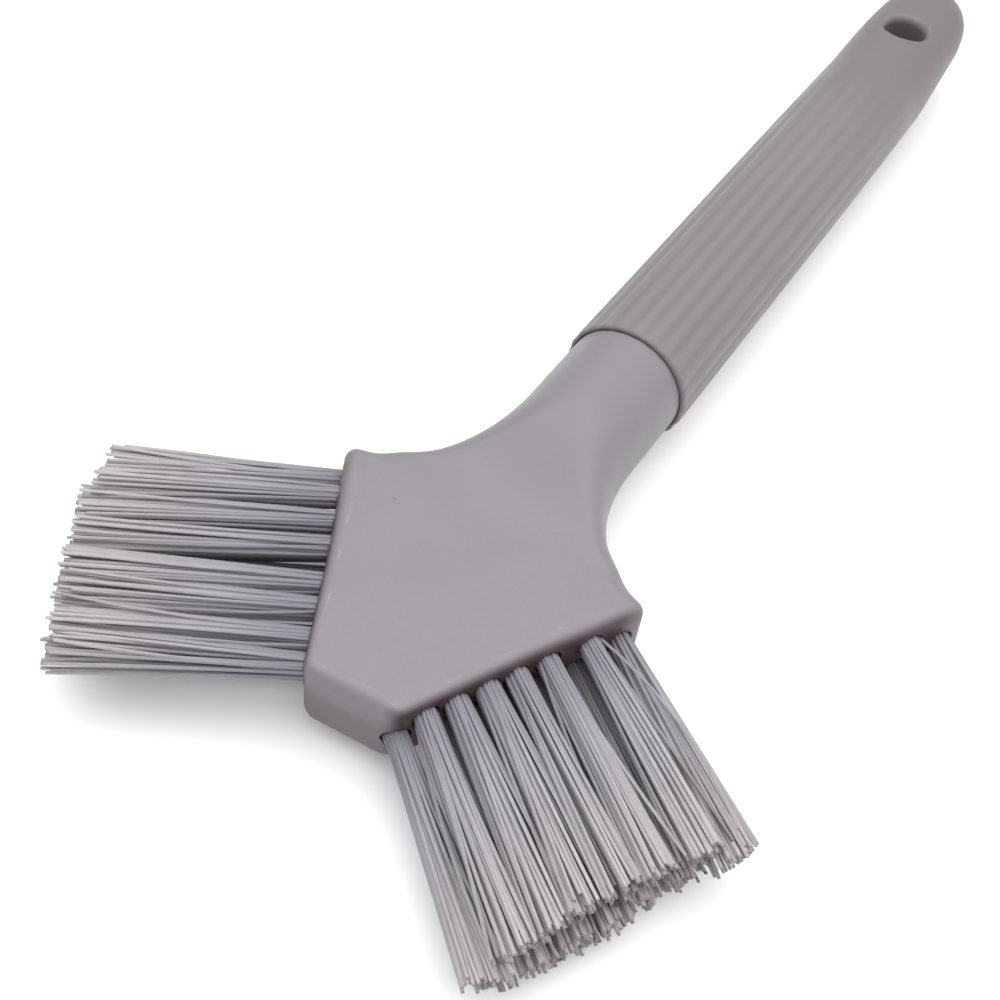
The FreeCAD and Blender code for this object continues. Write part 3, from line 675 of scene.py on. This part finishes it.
finish_piece(head, head_plastic)
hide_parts("head_block")
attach(head, "handle")
finish_piece(grip, grip_plastic)
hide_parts("grip_handle")
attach(grip, "handle")
for side, o in root_pieces.items():
    finish_piece(o, bristle_fibre)
    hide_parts("tuft_roots_" + side)
    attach(o, "handle")
    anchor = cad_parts["tuft_anchors_" + side]
    anchor.data.materials.clear()
    anchor.data.materials.append(anchor_steel)
for name, (o, at, n, side, row) in tufts.items():
    finish_piece(o, bristle_fibre)
    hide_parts(name)
    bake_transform(o)

# ---------------------------------------------------------------- floor, light and camera
k = Nodes("floor")
k.link(k.mix(k.noise(6, 2, 0.5), rgb(0.85, 0.85, 0.855), rgb(0.87, 0.87, 0.875)), k.shader.inputs["Base Color"])
k.shader.inputs["Roughness"].default_value = 0.9
k.shader.inputs["Specular IOR Level"].default_value = 0.1
k.shader.inputs["Emission Color"].default_value = (1.0, 1.0, 1.0, 1.0)
k.shader.inputs["Emission Strength"].default_value = 0.16
floor = mesh_object("floor", np.array(((-3000, -3000, 0), (3000, -3000, 0), (3000, 3000, 0), (-3000, 3000, 0)), float),
                    np.arange(4), np.array((0,)))
floor.data.materials.append(k.material)

world = bpy.data.worlds.new("studio")
bpy.context.scene.world = world
world.use_nodes = True
world.node_tree.nodes["Background"].inputs[0].default_value = (0.93, 0.96, 1.0, 1.0)
world.node_tree.nodes["Background"].inputs[1].default_value = 0.42


def softbox(name, at, aim, wide, tall, power, colour):
    lamp = bpy.data.lights.new(name, "AREA")
    lamp.shape = "RECTANGLE"
    lamp.size, lamp.size_y, lamp.energy, lamp.color = wide, tall, power, colour
    o = bpy.data.objects.new(name, lamp)
    bpy.context.scene.collection.objects.link(o)
    back = (np.array(at, float) - np.array(aim, float))
    back /= np.linalg.norm(back)
    right = np.cross((0, 1, 0.001), back)
    right /= np.linalg.norm(right)
    over = np.cross(back, right)
    o.matrix_world = Matrix([[right[i], over[i], back[i], at[i]] for i in range(3)] + [[0, 0, 0, 1]])
    return o


softbox("overhead", (-0.02, 0.05, 0.95), (0.0, 0.0, 0.0), 1.6, 1.4, 17.0, (1.0, 0.985, 0.97))
softbox("left_fill", (-0.75, -0.05, 0.42), (0.0, -0.05, 0.0), 0.5, 0.5, 0.8, (0.90, 0.94, 1.0))
softbox("right_fill", (0.62, 0.50, 0.45), (0.0, 0.02, 0.0), 0.6, 0.6, 1.2, (1.0, 0.98, 0.97))

# The camera was worked out from the straight edges, the round lip and the roots of the bristles.
TURN = np.array((2.322313004, 0.714507739, -0.136484581))
angle = np.linalg.norm(TURN)
kx, ky, kz = TURN / angle
cross = np.array(((0, -kz, ky), (kz, 0, -kx), (-ky, kx, 0)))
rot = np.eye(3) + math.sin(angle) * cross + (1 - math.cos(angle)) * cross @ cross
at = (np.array((55.867208, -81.463550, 155.948572)) + HEAD_AT) * MM
lens = bpy.data.cameras.new("camera")
lens.sensor_fit, lens.sensor_width, lens.lens = "HORIZONTAL", 36.0, 36.0 * 1491.86 / 1000
lens.clip_start, lens.clip_end = 0.01, 20
camera = bpy.data.objects.new("camera", lens)
bpy.context.scene.collection.objects.link(camera)
camera.matrix_world = Matrix([[rot[0][i], -rot[1][i], -rot[2][i], at[i]] for i in range(3)] + [[0, 0, 0, 1]])
bpy.context.scene.camera = camera
bpy.context.scene.view_settings.view_transform = "Standard"
bpy.context.scene.view_settings.look = "None"
